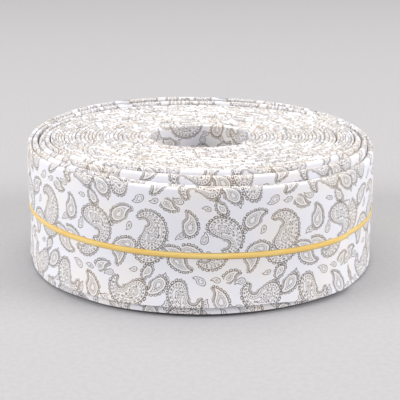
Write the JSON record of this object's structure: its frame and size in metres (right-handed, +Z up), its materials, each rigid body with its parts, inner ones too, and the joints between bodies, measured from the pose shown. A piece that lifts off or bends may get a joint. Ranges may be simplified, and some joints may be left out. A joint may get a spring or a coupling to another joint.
{
  "type": "roll of waistband tape",
  "caption": "Flat-lying spiral roll of folded two-part cloth waistband tape with a yellow piping line, open centre and one loose end.",
  "frame": {"origin": "centre of the roll's footprint, on the surface that it rests on", "axes": "+Z up along the roll's axis, -Y towards the viewer of the picture, +X to the viewer's right"},
  "size_m": [0.1652, 0.1666, 0.0598],
  "materials": {
    "printed_tape": "white cotton with a fine taupe paisley print, edges wound up",
    "printed_band": "white cotton with a fine taupe paisley print, folded over",
    "yellow_piping": "golden yellow satin piping",
    "printed_skirt": "white cotton with a fine taupe paisley print",
    "printed_under_ply": "white cotton with a fine taupe paisley print"
  },
  "bodies": {
    "root": {"wound_roll": "printed_tape", "outer_turn_upper_band": "printed_band", "outer_turn_piping": "yellow_piping", "outer_turn_skirt_outer_ply": "printed_skirt", "outer_turn_skirt_inner_ply": "printed_under_ply"}
  },
  "joints": []
}
